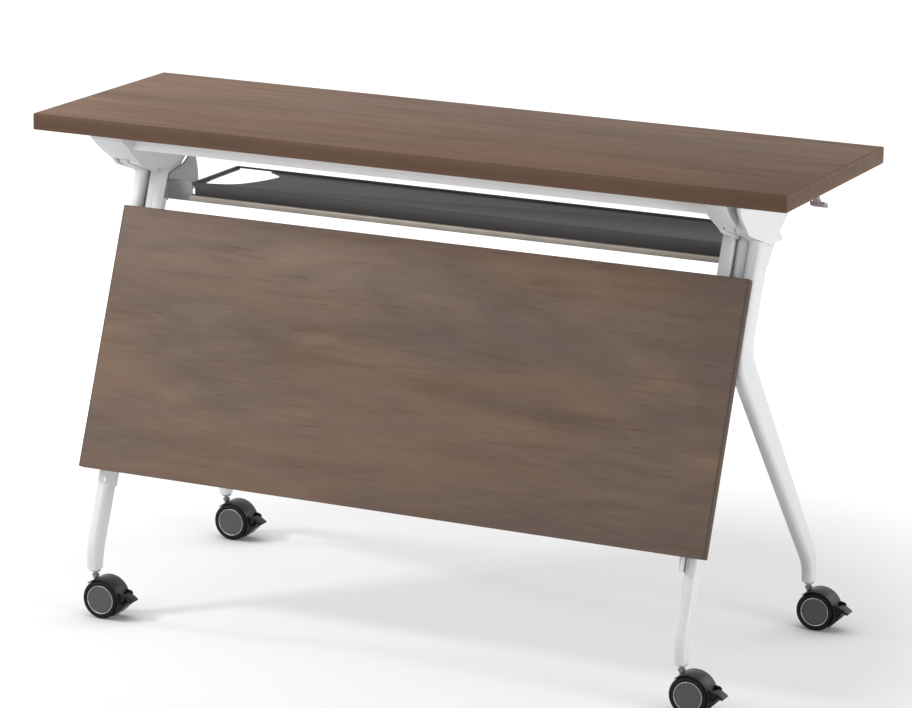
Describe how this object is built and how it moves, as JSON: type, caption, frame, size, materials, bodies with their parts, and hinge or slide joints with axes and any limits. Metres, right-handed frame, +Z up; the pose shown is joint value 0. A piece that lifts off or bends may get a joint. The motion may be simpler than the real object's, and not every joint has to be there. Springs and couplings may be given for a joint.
{
  "type": "flip_top_training_table",
  "caption": "Flip top training table with a walnut board that tilts up on white lambda legs, a modesty panel, a book tray and braked casters",
  "frame": {"origin": "on the floor under the middle of the board", "axes": "+X along the board, -Y towards the modesty panel, +Z up"},
  "size_m": [1.2, 0.493, 0.757],
  "materials": {
    "walnut": "satin wood-grain laminate",
    "white_paint": "white powder coat",
    "grey_paint": "grey powder coat",
    "dark_plastic": "matte charcoal",
    "satin_rail": "beige-grey satin paint",
    "black_plastic": "black moulded plastic",
    "wheel_tread": "dark tread with a grey hub face",
    "steel": "zinc plated",
    "rubber": "black rubber",
    "lever_grey": "pinkish grey plastic"
  },
  "bodies": {
    "frame": {"front_leg_left": "white_paint", "front_leg_right": "white_paint", "rear_leg_left": "white_paint", "rear_leg_right": "white_paint", "leg_bolt_upper_left": "steel", "leg_bolt_upper_right": "steel", "leg_bolt_lower_left": "steel", "leg_bolt_lower_right": "steel", "hinge_pin_left": "steel", "hinge_pin_right": "steel", "rest_bumper_left": "rubber", "rest_bumper_right": "rubber", "modesty_panel": "walnut", "panel_bracket_lower_left": "grey_paint", "panel_bracket_lower_right": "grey_paint", "panel_bracket_upper_left": "white_paint", "panel_bracket_upper_right": "white_paint", "book_tray": "dark_plastic", "tray_rail_front": "satin_rail", "tray_rail_rear": "satin_rail", "tray_arm_left": "grey_paint", "tray_arm_right": "grey_paint", "foot_insert_front_left": "steel", "foot_insert_front_right": "steel", "foot_insert_rear_left": "steel", "foot_insert_rear_right": "steel", "caster_stem_front_left": "steel", "caster_stem_front_right": "steel", "caster_stem_rear_left": "steel", "caster_stem_rear_right": "steel"},
    "desktop": {"desktop": "walnut", "head_bracket_left": "white_paint", "head_bracket_right": "white_paint", "cross_beam": "white_paint"},
    "release": {"release_rod": "steel", "release_lever": "lever_grey", "latch_pawl_left": "steel", "latch_pawl_right": "steel"},
    "caster_front_left": {"caster_hood_front_left": "black_plastic", "caster_axle_front_left": "steel"},
    "caster_front_right": {"caster_hood_front_right": "black_plastic", "caster_axle_front_right": "steel"},
    "caster_rear_left": {"caster_hood_rear_left": "black_plastic", "caster_axle_rear_left": "steel"},
    "caster_rear_right": {"caster_hood_rear_right": "black_plastic", "caster_axle_rear_right": "steel"},
    "brake_front_left": {"brake_pedal_front_left": "black_plastic"},
    "brake_front_right": {"brake_pedal_front_right": "black_plastic"},
    "brake_rear_left": {"brake_pedal_rear_left": "black_plastic"},
    "brake_rear_right": {"brake_pedal_rear_right": "black_plastic"},
    "wheel_a_front_left": {"wheel_a_front_left": "wheel_tread"},
    "wheel_b_front_left": {"wheel_b_front_left": "wheel_tread"},
    "wheel_a_front_right": {"wheel_a_front_right": "wheel_tread"},
    "wheel_b_front_right": {"wheel_b_front_right": "wheel_tread"},
    "wheel_a_rear_left": {"wheel_a_rear_left": "wheel_tread"},
    "wheel_b_rear_left": {"wheel_b_rear_left": "wheel_tread"},
    "wheel_a_rear_right": {"wheel_a_rear_right": "wheel_tread"},
    "wheel_b_rear_right": {"wheel_b_rear_right": "wheel_tread"}
  },
  "joints": [
    {"name": "flip", "type": "hinge", "parent": "frame", "child": "desktop", "pos_m": [0, -0.098, 0.688], "axis": [1, 0, 0], "range_deg": [0, 90]},
    {"name": "release", "type": "hinge", "parent": "desktop", "child": "release", "pos_m": [0, 0.03, 0.7195], "axis": [1, 0, 0], "range_deg": [0, 20], "stiffness_Nm_per_rad": 1},
    {"name": "swivel_front_left", "type": "hinge", "parent": "frame", "child": "caster_front_left", "pos_m": [-0.4785, -0.2285, 0.05], "axis": [0, 0, 1], "continuous": true},
    {"name": "spin_a_front_left", "type": "hinge", "parent": "caster_front_left", "child": "wheel_a_front_left", "pos_m": [-0.462, -0.2285, 0.03], "axis": [0, 1, 0], "continuous": true},
    {"name": "spin_b_front_left", "type": "hinge", "parent": "caster_front_left", "child": "wheel_b_front_left", "pos_m": [-0.462, -0.2285, 0.03], "axis": [0, 1, 0], "continuous": true},
    {"name": "brake_front_left", "type": "hinge", "parent": "caster_front_left", "child": "brake_front_left", "pos_m": [-0.4264, -0.2285, 0.037], "axis": [0, 1, 0], "range_deg": [0, 10]},
    {"name": "swivel_front_right", "type": "hinge", "parent": "frame", "child": "caster_front_right", "pos_m": [0.4785, -0.2285, 0.05], "axis": [0, 0, 1], "continuous": true},
    {"name": "spin_a_front_right", "type": "hinge", "parent": "caster_front_right", "child": "wheel_a_front_right", "pos_m": [0.495, -0.2285, 0.03], "axis": [0, 1, 0], "continuous": true},
    {"name": "spin_b_front_right", "type": "hinge", "parent": "caster_front_right", "child": "wheel_b_front_right", "pos_m": [0.495, -0.2285, 0.03], "axis": [0, 1, 0], "continuous": true},
    {"name": "brake_front_right", "type": "hinge", "parent": "caster_front_right", "child": "brake_front_right", "pos_m": [0.5306, -0.2285, 0.037], "axis": [0, 1, 0], "range_deg": [0, 10]},
    {"name": "swivel_rear_left", "type": "hinge", "parent": "frame", "child": "caster_rear_left", "pos_m": [-0.5, 0.2285, 0.05], "axis": [0, 0, 1], "continuous": true},
    {"name": "spin_a_rear_left", "type": "hinge", "parent": "caster_rear_left", "child": "wheel_a_rear_left", "pos_m": [-0.4835, 0.2285, 0.03], "axis": [0, 1, 0], "continuous": true},
    {"name": "spin_b_rear_left", "type": "hinge", "parent": "caster_rear_left", "child": "wheel_b_rear_left", "pos_m": [-0.4835, 0.2285, 0.03], "axis": [0, 1, 0], "continuous": true},
    {"name": "brake_rear_left", "type": "hinge", "parent": "caster_rear_left", "child": "brake_rear_left", "pos_m": [-0.4479, 0.2285, 0.037], "axis": [0, 1, 0], "range_deg": [0, 10]},
    {"name": "swivel_rear_right", "type": "hinge", "parent": "frame", "child": "caster_rear_right", "pos_m": [0.5, 0.2285, 0.05], "axis": [0, 0, 1], "continuous": true},
    {"name": "spin_a_rear_right", "type": "hinge", "parent": "caster_rear_right", "child": "wheel_a_rear_right", "pos_m": [0.5165, 0.2285, 0.03], "axis": [0, 1, 0], "continuous": true},
    {"name": "spin_b_rear_right", "type": "hinge", "parent": "caster_rear_right", "child": "wheel_b_rear_right", "pos_m": [0.5165, 0.2285, 0.03], "axis": [0, 1, 0], "continuous": true},
    {"name": "brake_rear_right", "type": "hinge", "parent": "caster_rear_right", "child": "brake_rear_right", "pos_m": [0.5521, 0.2285, 0.037], "axis": [0, 1, 0], "range_deg": [0, 10]}
  ]
}
